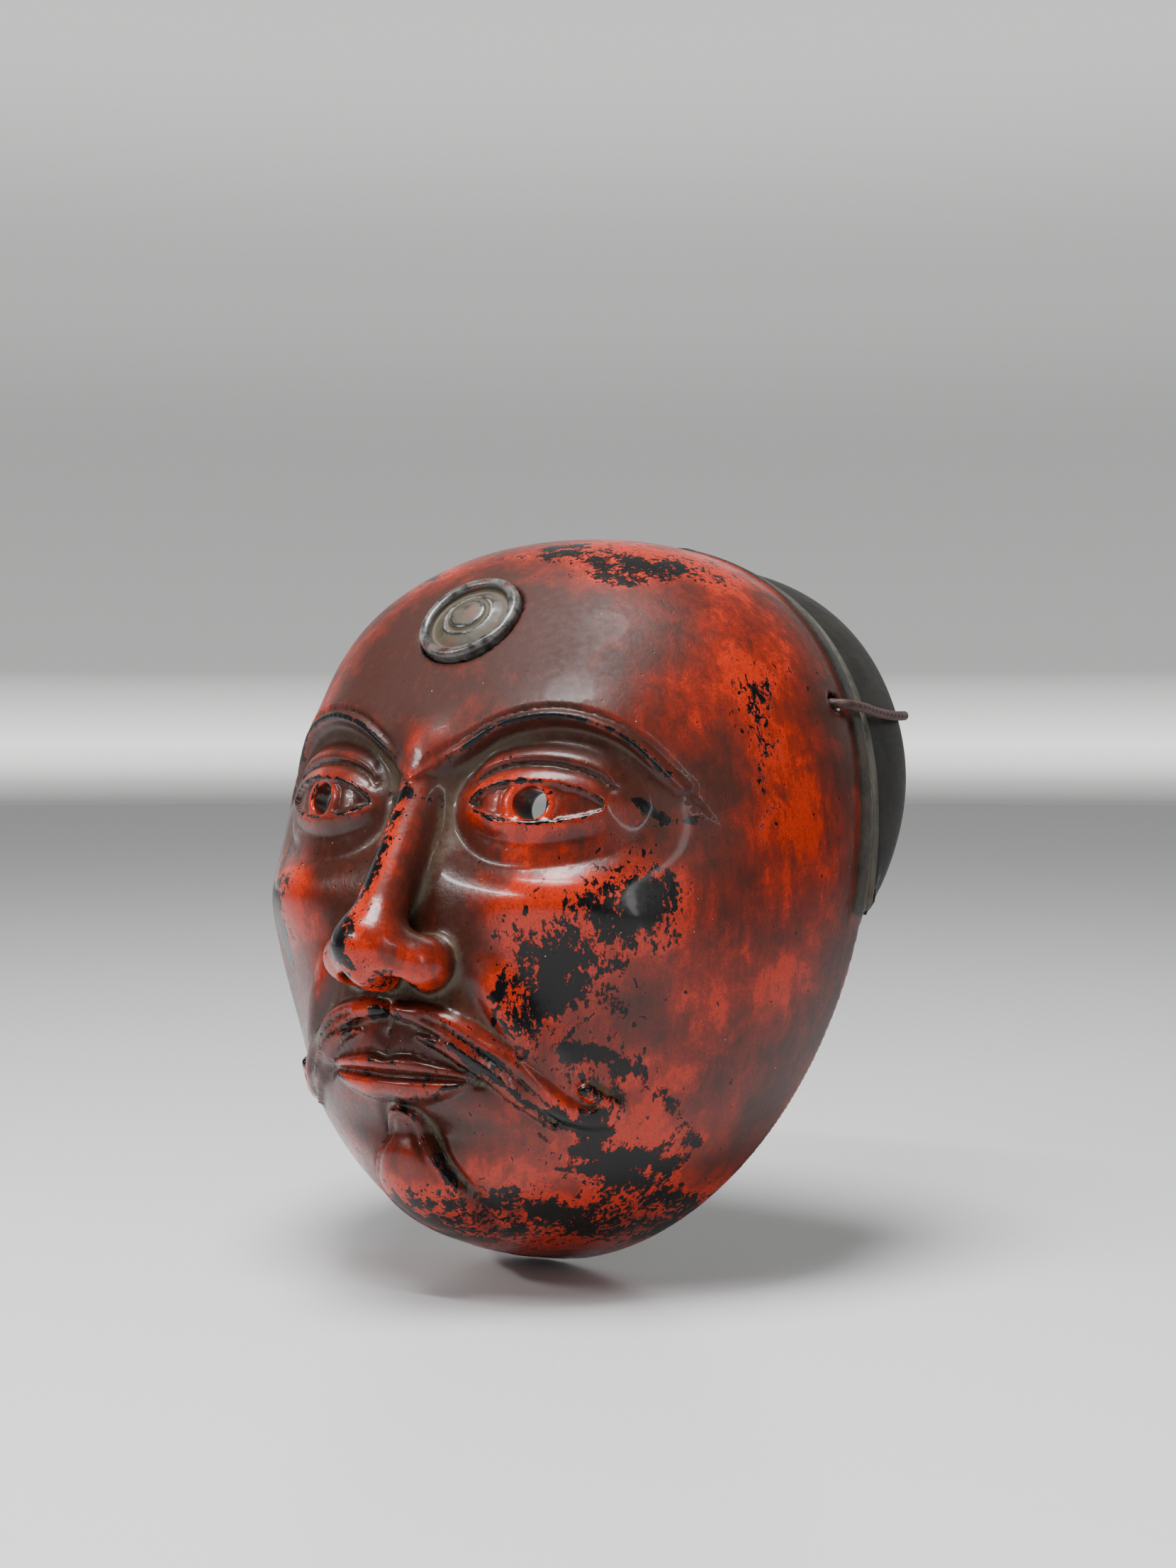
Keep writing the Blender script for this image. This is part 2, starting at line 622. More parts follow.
def carve_shell():
    """The face shell's points and quads: outside, inside, holes and the boss's seat."""
    carving = Carving((0, -114, -116), (93, 4, 99), GRAIN)
    x2, z2 = np.meshgrid(carving.axes[0], carving.axes[2], indexing="ij")
    lift = relief.sample(relief.height, x2, z2).astype(np.float32)[:, None, :]
    carving.field = carving.half_egg(lift)
    carving.field = carving.field - RIDGE_H * rim_ridge(carving.y, carving.z).astype(np.float32)
    carve_nose(carving)
    hollow = carving.half_egg(np.float32(0), WALL) + gouge_marks(carving)
    carving.field = -smooth_min(-carving.field, hollow, 0.6)
    carving.field = -smooth_min(-carving.field, -carving.y + np.zeros_like(carving.field), 1.4)
    near_eye = ((20, -114, -12), (50, -20, 20))
    eye_hole = tapered((EYE_X, -120, EYE_Z), (EYE_X, 0, EYE_Z), EYE_HOLE_R, EYE_HOLE_R)
    carving.cut(eye_hole, *near_eye, 1.0)
    inner_y = -float(depth(np.array(EYE_Z), WALL)) * 0.93
    carving.cut(ellipsoid((EYE_X, inner_y + 3, EYE_Z), (10, 5.5, 10)), *near_eye, 1.5)
    cord_hole = tapered((50, -CORD_HOLE_Y, CORD_Z), (93, -CORD_HOLE_Y, CORD_Z), CORD_HOLE_R, CORD_HOLE_R)
    carving.cut(cord_hole, (55, -25, 34), (93, 0, 58), 0.8)
    seat = disc(boss_centre(), forehead_normal(), BOSS_R + 0.2, -BOSS_SUNK - 0.2, 30)
    carving.cut(seat, (0, -114, 30), (24, -40, 84), 0.5)
    field = np.concatenate([carving.field[:0:-1], carving.field])
    low = carving.low - (GRAIN * (len(carving.axes[0]) - 1), 0, 0)
    return surface_net(field, low, GRAIN)


# ---- shape measures that drive the wear ----


def spread(values, pairs, rounds):
    """values averaged over each point's neighbours, again and again."""
    a, b = pairs
    n = len(values)
    weight = 1 + np.bincount(a, minlength=n) + np.bincount(b, minlength=n)
    v = np.asarray(values, float).reshape(n, -1)
    for _ in range(rounds):
        v = np.stack([
            (c + np.bincount(a, c[b], n) + np.bincount(b, c[a], n)) / weight for c in v.T], -1)
    return v if np.ndim(values) > 1 else v[:, 0]


def measure_shape(piece, wide_rounds):
    """Writes how sharply each point stands out (edge) and how far it stands out of its surroundings (proud),
    and gives back the points in millimetres and their normals."""
    p = points_of(piece) / MM
    n = read(piece.data.vertices, "normal", 3)
    pairs = edge_pairs(piece)
    a, b = pairs
    d = p[b] - p[a]
    bend = ((n[b] - n[a]) * d).sum(1) / np.maximum((d * d).sum(1), 1e-4)
    total = np.bincount(a, bend, len(p)) + np.bincount(b, bend, len(p))
    count = np.bincount(a, minlength=len(p)) + np.bincount(b, minlength=len(p))
    edge = spread(total / np.maximum(count, 1), pairs, 2)
    proud = ((p - spread(p, pairs, wide_rounds)) * n).sum(1)
    write_attribute(piece, "edge", edge)
    write_attribute(piece, "proud", proud)
    return p, n


# ---- materials ----


class Nodes:
    """The node tree of a material or of the world, with short calls for the nodes that they share."""

    def __init__(self, owner):
        owner.use_nodes = True
        self.tree = owner.node_tree

    def node(self, kind, inputs, **settings):
        """A new node with these settings, and with a value or a link for each of these inputs."""
        n = self.tree.nodes.new(kind)
        for key, value in settings.items():
            setattr(n, key, value)
        for key, value in inputs.items():
            self.put(n.inputs[key], value)
        return n

    def put(self, socket, value):
        if isinstance(value, bpy.types.NodeSocket):
            self.tree.links.new(value, socket)
        else:
            socket.default_value = value

    def maths(self, operation, *values):
        return self.node("ShaderNodeMath", dict(enumerate(values)), operation=operation).outputs[0]

    def times(self, a, b):
        return self.maths("MULTIPLY", a, b)

    def add(self, *terms):
        """The sum of the terms. A pair counts as its product."""
        total, *others = (self.times(*term) if isinstance(term, tuple) else term for term in terms)
        for value in others:
            total = self.maths("ADD", total, value)
        return total


class Paint(Nodes):
    """One material."""

    def __init__(self, name):
        self.material = bpy.data.materials.new(name)
        super().__init__(self.material)
        self.shader = self.tree.nodes["Principled BSDF"]
        self.place = self.node("ShaderNodeTexCoord", {}).outputs["Object"]

    def finished(self, **inputs):
        """The material, with the shader's inputs set; an underscore stands for a space."""
        for key, value in inputs.items():
            self.put(self.shader.inputs[key.replace("_", " ")], value)
        return self.material

    def span(self, value, low, high, start=0.0, end=1.0):
        """value from low to high, as start to end, smoothly and no further."""
        inputs = dict(enumerate((value, low, high, start, end)))
        return self.node("ShaderNodeMapRange", inputs, interpolation_type="SMOOTHSTEP").outputs[0]

    def attribute(self, name):
        return self.node("ShaderNodeAttribute", {}, attribute_name=name).outputs["Fac"]

    def stretched(self, scale, turn=(0, 0, 0)):
        inputs = {"Vector": self.place, "Scale": scale, "Rotation": turn}
        return self.node("ShaderNodeMapping", inputs).outputs[0]

    def noise(self, size_mm, detail=4.0, roughness=0.55, distortion=0.0, place=None):
        return self.node("ShaderNodeTexNoise", {
            "Vector": place or self.place, "Scale": 1 / (size_mm * MM), "Detail": detail,
            "Roughness": roughness, "Distortion": distortion}).outputs["Fac"]

    def cells(self, size_mm):
        inputs = {"Vector": self.place, "Scale": 1 / (size_mm * MM)}
        return self.node("ShaderNodeTexVoronoi", inputs).outputs["Distance"]

    def blend(self, amount, a, b):
        """A colour from a to b as amount goes from 0 to 1."""
        a, b = ((*value, 1) if isinstance(value, tuple) else value for value in (a, b))
        return self.node("ShaderNodeMix", {0: amount, 6: a, 7: b}, data_type="RGBA").outputs[2]

    def level(self, amount, a, b):
        """A number from a to b as amount goes from 0 to 1."""
        return self.node("ShaderNodeMix", {0: amount, 2: a, 3: b}, data_type="FLOAT").outputs[0]

    def bump(self, height, distance_mm, strength=1.0, under=None):
        inputs = {"Height": height, "Distance": distance_mm * MM, "Strength": strength}
        if under is not None:
            inputs["Normal"] = under
        return self.node("ShaderNodeBump", inputs).outputs[0]


VERMILION = (0.42, 0.0210, 0.0040)
BRICK = (0.150, 0.0125, 0.0050)
MAROON = (0.040, 0.0100, 0.0058)
SMEAR = (0.085, 0.014, 0.008)
GRIME = (0.030, 0.0065, 0.0040)
SPECK = (0.42, 0.34, 0.24)
DUST = (0.070, 0.052, 0.030)
SOOT = (0.0045, 0.004, 0.004)


def strip_tone(p, rim, edge, mid, fine):
    """The band's black lacquer where it is carried over the edge of the shell."""
    greyed = p.span(p.add((rim, 0.5), (mid, 0.8), (fine, 0.7)), 1.05, 1.70)
    tone = p.blend(greyed, (0.010, 0.0080, 0.0065), (0.050, 0.045, 0.034))
    tone = p.blend(p.times(p.span(mid, 0.46, 0.62), 0.6), tone, (0.040, 0.020, 0.009))
    return p.blend(p.span(p.add(edge, (fine, 0.25)), 0.24, 0.50), tone, (0.150, 0.140, 0.115))


def red_lacquer():
    """Vermilion lacquer over black: worn through in ragged strokes, dull maroon and dusty in the hollows."""
    p = Paint("red_lacquer")
    edge, proud, wide, bare, line, rim, dull = (
        p.attribute(name) for name in ("edge", "proud", "wide", "bare", "line", "rim", "dull"))
    strokes = p.stretched((1.0, 1.0, 0.66), (0, math.radians(28), 0))
    brushed = p.stretched((1.0, 1.0, 0.14))
    ragged = p.noise(7.5, 8, 0.74, 0.25, strokes)
    fine = p.noise(1.2, 4, 0.7, 0.4, strokes)
    broad = p.noise(34, 3, 0.5)
    mid = p.noise(11, 5, 0.62, 0.8)
    streaks = p.noise(3.2, 4, 0.65, 0.3, brushed)
    # how bright the red is: fresh where it stands out and round the bare places, dull where it lies back
    glow = p.add((wide, 0.085), (proud, 0.12), (bare, 0.95), (broad, 1.9), (mid, 0.9), (streaks, 0.7),
                 (dull, -0.55), -1.86)
    red = p.blend(p.span(glow, -0.38, 0.28), MAROON, BRICK)
    fresh = p.add(glow, (ragged, 1.2), (fine, 0.5), -0.88)
    fresh = p.add((p.span(fresh, -0.05, 0.50), 0.62), (p.span(fresh, 0.26, 0.33), 0.38))
    red = p.blend(fresh, red, VERMILION)
    smear = p.times(p.span(p.add(streaks, (mid, 0.5)), 0.80, 0.98), 0.5)
    red = p.blend(smear, red, SMEAR)
    red = p.blend(p.span(p.noise(0.55, 3, 0.7), 0.44, 0.66, 0, 0.42), red, GRIME)
    # worn to black
    worn = p.add(bare, (p.span(edge, 0.10, 0.50), 0.45), (line, 0.62), (ragged, 2.3), (fine, 0.9),
                 (broad, 0.35), -2.33)
    spots = p.noise(2.4, 3, 0.6, 0.3, strokes)
    flecks = p.add((spots, 1.6), (bare, 0.40), (mid, 0.5), (dull, -0.12), -1.36)
    black = p.maths("MAXIMUM", p.span(worn, 0.0, 0.035), p.span(flecks, 0.0, 0.05))
    colour = p.blend(black, red, SOOT)
    # dust in the deepest places
    deep = p.add((wide, 0.28), (proud, 0.9), (edge, 2.5), (mid, 3.5), (fine, 1.5))
    dust = p.span(deep, 1.0, -1.0, 0, 0.85)
    colour = p.blend(dust, colour, DUST)
    colour = p.blend(p.times(p.span(p.cells(7), 0.034, 0.020), 0.7), colour, SPECK)
    strip = p.span(p.add(rim, (ragged, 0.5), (fine, 0.2), -0.35), 0.40, 0.62)
    colour = p.blend(strip, colour, strip_tone(p, rim, edge, mid, fine))
    gloss = p.level(black, p.level(fresh, 0.28, 0.20), 0.17)
    uneven = p.noise(2.2, 3, 0.6)
    gloss = p.add(gloss, (uneven, 0.26), -0.12, (dust, 0.26), (strip, 0.16), (dull, 0.34))
    skin = p.bump(p.noise(4.5, 4, 0.6), 0.16, 0.6)
    pits = p.bump(p.span(p.cells(3.4), 0.0, 0.15), 0.12, 0.5, skin)
    lines = p.bump(p.noise(1.1, 4, 0.7, 0, strokes), 0.08, 0.7, pits)
    step = p.bump(p.span(worn, 0.05, -0.02), 0.10, 1.0, lines)
    return p.finished(
        Base_Color=colour, Roughness=gloss, Normal=step, IOR=1.34, Coat_Roughness=0.08,
        Specular_IOR_Level=p.level(black, 0.5, 0.32), Coat_Weight=p.level(dull, 0.16, 0.0))


def inner_wood():
    """The carved back: cypress stained dark brown, with its grain and the sheen of old sealing lacquer."""
    p = Paint("inner_wood")
    along = p.stretched((1.0, 1.0, 0.08))
    grain = p.noise(2.2, 5, 0.65, 0.3, along)
    rings = p.noise(9, 3, 0.5, 1.2, along)
    stain = p.noise(30, 4, 0.6)
    light, dark = (0.115, 0.048, 0.020), (0.040, 0.017, 0.009)
    wood = p.blend(p.span(p.add((grain, 0.7), (rings, 0.6)), 0.45, 0.85), light, dark)
    wood = p.blend(p.span(stain, 0.42, 0.68), wood, (0.026, 0.012, 0.009))
    wood = p.blend(p.span(p.attribute("edge"), 0.05, 0.35, 0, 0.55), wood, (0.21, 0.105, 0.046))
    return p.finished(Base_Color=wood, Roughness=p.level(grain, 0.42, 0.62), IOR=1.5,
                      Normal=p.bump(grain, 0.12, 0.7, p.bump(p.noise(5, 3), 0.2, 0.5)))


def black_lacquer():
    """Satin black lacquer: dusty on its front edge, with brown showing through and fine scratches."""
    p = Paint("black_lacquer")
    edge, ridge = p.attribute("edge"), p.attribute("ridge")
    strokes = p.stretched((1.0, 0.25, 1.0))
    cloudy = p.noise(14, 5, 0.6, 0.5)
    fine = p.noise(1.6, 4, 0.7, 0, strokes)
    black = p.blend(p.span(cloudy, 0.40, 0.66), (0.0060, 0.0058, 0.0052), (0.015, 0.0125, 0.0095))
    worn = p.add((ridge, 0.5), (p.span(edge, 0.04, 0.30), 0.75), (cloudy, 0.9), (fine, 0.6), -1.10)
    worn = p.span(worn, 0.0, 0.75)
    colour = p.blend(worn, black, (0.095, 0.090, 0.075))
    stain = p.times(p.span(p.noise(8, 4, 0.6), 0.48, 0.70), p.times(ridge, 0.55))
    colour = p.blend(stain, colour, (0.070, 0.040, 0.018))
    rough = p.add(p.level(worn, 0.46, 0.62), (fine, 0.14), -0.07)
    return p.finished(Base_Color=colour, Roughness=rough, IOR=1.32, Specular_IOR_Level=0.32,
                      Normal=p.bump(fine, 0.05, 0.5, p.bump(p.noise(6, 3), 0.18, 0.5)))


def boss_lacquer():
    """Black lacquer rubbed to a soft grey shine on what stands out, over olive dust."""
    p = Paint("boss_lacquer")
    edge, proud = p.attribute("edge"), p.attribute("proud")
    cloudy = p.noise(4, 5, 0.65, 0.5)
    high = p.span(p.add(proud, (cloudy, 0.8), (edge, 1.5)), 0.35, 0.85)
    colour = p.blend(high, (0.062, 0.049, 0.028), (0.014, 0.013, 0.012))
    rubbed = p.times(p.span(edge, 0.15, 0.55), p.span(cloudy, 0.35, 0.6))
    colour = p.blend(rubbed, colour, (0.30, 0.29, 0.27))
    colour = p.blend(p.times(p.span(p.noise(6, 4), 0.52, 0.68), 0.5), colour, (0.12, 0.024, 0.014))
    return p.finished(Base_Color=colour, Roughness=p.level(high, 0.72, 0.28), IOR=1.5,
                      Normal=p.bump(cloudy, 0.15, 0.6, p.bump(p.noise(1.0, 3), 0.06, 0.7)))


def bamboo():
    """Split bamboo with fine long fibres."""
    p = Paint("bamboo")
    fibre = p.noise(0.5, 4, 0.6, 0, p.stretched((1.0, 0.05, 1.0)))
    tone = p.blend(p.span(fibre, 0.35, 0.65), (0.34, 0.20, 0.075), (0.62, 0.43, 0.20))
    return p.finished(Base_Color=tone, Roughness=p.level(fibre, 0.45, 0.6), Normal=p.bump(fibre, 0.08))


def braided_silk():
    """Dark red-brown silk, nearly black between the strands and faded in places."""
    p = Paint("braided_silk")
    low = p.attribute("proud")
    fibre = p.noise(0.25, 3, 0.6)
    fade = p.noise(12, 3, 0.5)
    tone = p.blend(p.span(low, -0.25, 0.15), (0.010, 0.0035, 0.0028), (0.040, 0.0100, 0.0075))
    tone = p.blend(p.span(p.add(fibre, fade), 0.9, 1.25), tone, (0.060, 0.019, 0.014))
    return p.finished(Base_Color=tone, Roughness=p.level(fibre, 0.55, 0.8), Sheen_Weight=0.05,
                      Sheen_Roughness=0.4, Normal=p.bump(fibre, 0.05, 0.8))


def cotton():
    """Undyed cotton in a plain weave, soiled in places and darker in its creases."""
    p = Paint("cotton")
    thread = {"Vector": p.place, "Scale": 620, "Distortion": 1.2, "Detail Scale": 2}
    threads = [p.node("ShaderNodeTexWave", thread, wave_type="BANDS", bands_direction=way).outputs["Fac"]
               for way in ("X", "Z")]
    weave = p.times(*threads)
    soil = p.noise(11, 4, 0.6)
    tone = p.blend(p.span(weave, 0.1, 0.8), (0.40, 0.33, 0.23), (0.62, 0.55, 0.43))
    tone = p.blend(p.span(soil, 0.48, 0.72, 0, 0.6), tone, (0.30, 0.21, 0.12))
    tone = p.blend(p.span(p.attribute("edge"), 0.0, -0.25, 0, 0.5), tone, (0.24, 0.18, 0.11))
    return p.finished(Base_Color=tone, Roughness=0.85, Sheen_Weight=0.25, Normal=p.bump(weave, 0.12, 0.9))


def plain_floor():
    """Pale grey, with a faint shine."""
    p = Paint("floor")
    tone = p.blend(p.noise(400, 2), (0.68, 0.68, 0.69), (0.72, 0.72, 0.73))
    return p.finished(Base_Color=tone, Roughness=0.30)


# ---- camera, floor and light ----

YAW, PITCH = math.radians(33.0), math.radians(-1.4)


def aim(thing, direction):
    """Points a camera or a light along a direction and adds it to the scene."""
    thing.rotation_mode = "QUATERNION"
    thing.rotation_quaternion = direction.to_track_quat("-Z", "Y")
    bpy.context.scene.collection.objects.link(thing)


def set_camera():
    """The photograph's view: from the mask's front left, a little above its eyes."""
    camera = bpy.data.objects.new("camera", bpy.data.cameras.new("camera"))
    camera.location = Vector((371.7, -575.7, 41.3)) * MM
    camera.data.lens = 53.7
    camera.data.clip_start = 0.01
    level = math.cos(PITCH)
    aim(camera, Vector((-math.sin(YAW) * level, math.cos(YAW) * level, math.sin(PITCH))))
    bpy.context.scene.camera = camera


def area_light(name, place, size, power):
    """An oval light, in metres and watts, that faces the mask."""
    data = bpy.data.lights.new(name, "AREA")
    data.shape = "ELLIPSE"
    data.size, data.size_y = size
    data.energy = power
    light = bpy.data.objects.new(name, data)
    light.location = place
    mask_middle = Vector((0, -0.02, 0))
    aim(light, mask_middle - Vector(place))


def set_stage():
    """A pale round floor under the mask's chin, four soft lights and a grey room."""
    radius = 4.0
    turns = 96
    edge = [(radius * math.cos(a), radius * math.sin(a), cad_box[0].z)
            for a in np.linspace(0, 2 * math.pi, turns, endpoint=False)]
    floor = new_mesh("floor", edge, [[range(turns)]])
    floor.data.materials.append(plain_floor())
    set_sky()
    area_light("overhead", place=(0.05, -0.25, 1.30), size=(0.60, 0.60), power=34)
    area_light("top", place=(0.02, -0.42, 0.72), size=(0.55, 0.04), power=4.4)
    area_light("right", place=(0.80, -0.40, 0.22), size=(0.04, 0.6), power=1.2)
    area_light("left", place=(-0.45, -0.85, 0.45), size=(0.40, 0.05), power=4.6)


def tones(sky, amount, stops):
    """A grey that follows the stops, each a place from 0 to 1 and a brightness."""
    ramp = sky.node("ShaderNodeValToRGB", {0: amount})
    ramp.color_ramp.interpolation = "EASE"
    ramp.color_ramp.elements.remove(ramp.color_ramp.elements[0])
    ramp.color_ramp.elements[0].position = stops[0][0]
    for at, _ in stops[1:]:
        ramp.color_ramp.elements.new(at)
    for element, (_, tone) in zip(ramp.color_ramp.elements, stops):
        element.color = (tone, tone * 1.005, tone * 0.995, 1)
    return ramp.outputs[0]


def set_sky():
    """A grey backdrop behind the mask, bright at the horizon, in a room that is dimmer on the near side."""
    world = bpy.data.worlds.new("studio")
    sky = Nodes(world)
    place = sky.node("ShaderNodeTexCoord", {}).outputs["Generated"]
    split = sky.node("ShaderNodeSeparateXYZ", {0: place})
    height = sky.maths("MULTIPLY_ADD", split.outputs["Z"], 0.5, 0.5)
    backdrop = tones(sky, height, [
        (0.0, 0.33), (0.4842, 0.34), (0.4965, 1.6), (0.5035, 1.0), (0.5125, 0.50), (0.559, 0.45),
        (0.591, 0.56), (0.640, 0.86), (0.675, 0.80), (0.74, 0.34), (1.0, 0.30)])
    behind = sky.add((split.outputs["X"], -math.sin(YAW)), (split.outputs["Y"], math.cos(YAW)))
    behind = sky.maths("MULTIPLY_ADD", behind, 0.5, 0.5)
    nearness = tones(sky, behind, [(0.25, 0.17), (0.62, 0.25), (0.80, 1.0)])
    tone = sky.node("ShaderNodeMix", {0: 1.0, 6: backdrop, 7: nearness},
                    data_type="RGBA", blend_type="MULTIPLY")
    background = sky.tree.nodes["Background"]
    sky.put(background.inputs["Color"], tone.outputs[2])
    sky.put(background.inputs["Strength"], 1.0)
    bpy.context.scene.world = world


# ---- the pieces ----


def stand_for(piece, node, material_slot, *materials):
    """Paints the piece and lets it move with the one body, in place of the design's node."""
    for material in materials:
        piece.data.materials.append(material)
    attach(piece, "root")
    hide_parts(node)


def hand_made(points, size, amount):
    """A slow unevenness of the given size and amount, in millimetres, the same on each run."""
    x, y, z = (np.asarray(points) / size).T
    waves = np.sin(1.7 * x + 2.3 * z) + np.sin(2.9 * y - 1.3 * x + 0.7) + np.sin(3.1 * z + 1.9 * y + 2.1)
    return amount * waves / 3


def bare_patches(p):
    """Where the red is rubbed through, from 0 to about 1, at points in the upright frame."""
    x, y, z = p.T
    patches = [
        # middle x and z, half length, half width, tilt from upright, strength
        (40, -40, 26, 12, -32, 0.77),
        (53, -60, 13, 7, -10, 0.46),
        (61, -18, 16, 9, 12, 0.60),
        (46, -86, 18, 8, 8, 0.74),
        (-54, -24, 22, 11, -14, 0.78),
        (-48, -58, 14, 7, 12, 0.48),
        (-3, -14, 26, 4.5, -4, 0.70),
        (-4, -38, 10, 8, 50, 0.60),
        (8, -45, 5, 9, 0, 0.40),
        (34, 76, 8, 20, 8, 0.78),
        (6, 82, 6, 16, 4, 0.70),
        (-34, 74, 7, 15, -8, 0.60),
        (0, -104, 9, 28, 0, 0.72),
        (30, -98, 7, 16, -20, 0.56),
        (-28, -92, 10, 9, 18, 0.56),
        (76, 26, 22, 5, 8, 0.42),
        (70, 44, 14, 5, 0, 0.38)]
    worn = np.zeros(len(p))
    for cx, cz, long, wide, tilt, strength in patches:
        c, s = math.cos(math.radians(tilt)), math.sin(math.radians(tilt))
        across, up = (x - cx) * c + (z - cz) * s, (z - cz) * c - (x - cx) * s
        worn += strength * swell(across, up, wide, long)
    return worn * (y < 2)


def dull_places(p):
    """Where the lacquer is dark and dull, from 0 to 1: the forehead, the temples and the jaw."""
    x, y, z = p.T
    middle = 1.3 * swell(x - 6, z - 50, 54, 30)
    temples = 0.5 * swell(np.abs(x) - 74, z + 6, 12, 40)
    jaw = 0.2 * swell(np.abs(x) - 68, z + 56, 14, 38)
    return np.minimum(middle + temples + jaw, 1) * (y < 2)


def half_egg_reach(p):
    """How far out each point lies: 1 on the half-egg."""
    x, y, z = p.T
    r = (np.abs(x) / half_width(z)) ** SECTION + (np.abs(y) / depth(z)) ** SECTION
    return r ** (1 / SECTION)


def make_face():
    """The face shell: carved, thinned out, measured for its wear, and painted outside and inside."""
    points, quads = carve_shell()
    piece = new_mesh("face", placed(points), [quads])
    thin = piece.modifiers.new("thin", "DECIMATE")
    thin.ratio = min(1.0, FACE_TRIANGLES / (2 * len(quads)))
    apply_modifiers(piece)
    mesh = piece.data
    mesh.polygons.foreach_set("use_smooth", np.ones(len(mesh.polygons), bool))
    at, normal = measure_shape(piece, 50)
    p = upright(points_of(piece))
    wide = ((at - spread(at, edge_pairs(piece), 300)) * normal).sum(1) - 2
    write_attribute(piece, "wide", np.clip(wide * ease((-p[:, 1] - 8) / 30), -5, 2.5))
    write_attribute(piece, "bare", bare_patches(p))
    write_attribute(piece, "dull", dull_places(p))
    write_attribute(piece, "rim", rim_ridge(p[:, 1], p[:, 2]))
    write_attribute(piece, "line", relief.sample(relief.line, p[:, 0], p[:, 2]) * (p[:, 1] < -3))
    # the inside is wood: its points lie closer to the hollow, and at the crown and chin face inwards
    facing = upright(normal * MM)[:, 2] * np.sign(p[:, 2])
    outer_pole = (np.abs(p[:, 2]) > 70) & (facing > 0.3)
    half_wall = 0.5 * WALL / 85      # as a share of the half-egg's reach, about 85 mm
    inside = (half_egg_reach(p) < 1 - half_wall) & ~outer_pole
    corner = read(mesh.loops, "vertex_index", 1, np.int32)[read(mesh.polygons, "loop_start", 1, np.int32)]
    mesh.polygons.foreach_set("material_index", inside[corner].astype(np.int32))
    stand_for(piece, "face_shell", "red_lacquer", red_lacquer(), inner_wood())


# ---- the crown band ----


def band_depth(v):
    """How deep the band is from front to back at angle v: full at the crown, tapering to its ends."""
    z = egg(v, 90)[2]
    t = max(0.0, (BAND_END_Z + BAND_TAPER - z) / BAND_TAPER)
    return BAND_END_D + (BAND_D - BAND_END_D) * max(0.0, 1 - t**2.4) ** 0.8


def band_section(v, count):
    """The band's cross-section at angle v: how far inside the shell's outline, and how far behind the rim."""
    d = band_depth(v)
    k, i = d / BAND_D, BAND_STEP
    front = min(1.0, d / 9)
    corners = [
        (WALL - 0.4, 0.08), (i + 0.5, 0.08), (i - 0.2, 0.35 * front), (i - 1.3, 1.1 * front),
        (i - 1.6, 2.6 * front), (i - 1.2, 4.3 * front), (i - 0.1, 5.6 * front), (i + 0.25, 6.4 * front),
        (i + 0.3 * k, 8.5 * front), (i + 0.7 * k, d * 0.5), (i + 1.5 * k, d * 0.7), (i + 2.6 * k, d * 0.85),
        (i + 4.0 * k, d * 0.955), (i + 5.6 * k, d * 0.997), (WALL - 1.5 + 2 * k, d),
        (WALL - 0.2 + 1.7 * k, d * 0.95), (WALL + 1.4 * k, d * 0.8), (WALL + 0.5 * k, d * 0.4), (WALL, 0.5),
        (WALL - 0.4, 0.08)]
    return smooth_curve(corners, count)[:-1]


def make_band():
    """The crown band, swept over the crown from one end to the other."""
    stations, around = 220, 84
    end = math.degrees(math.asin(BAND_END_Z / CHIN_H))
    rings, ridge = [], []
    for v in np.linspace(end, 180 - end, stations):
        low = 180 - v if v > 90 else v
        section = band_section(low, around + 1)
        ring = np.array([egg(low, 90, inset) for inset, _ in section])
        ring[:, 1] = section[:, 1]
        if v > 90:
            ring[:, 0] *= -1
        rings.append(raised(ring))
        ridge.append(ease((7.0 - section[:, 1]) / 2) * (section[:, 0] < BAND_STEP + 1.5))
    points = np.concatenate(rings)
    points[:, 2] += hand_made(points, 23, 0.16) * ease(points[:, 1] / 6)
    piece = capped_tube("band", points, around, [rings[0].mean(0), rings[-1].mean(0)])
    measure_shape(piece, 20)
    write_attribute(piece, "ridge", np.concatenate(ridge + [[0, 0]]))
    stand_for(piece, "crown_band", "black_lacquer", black_lacquer())


# ---- the boss ----


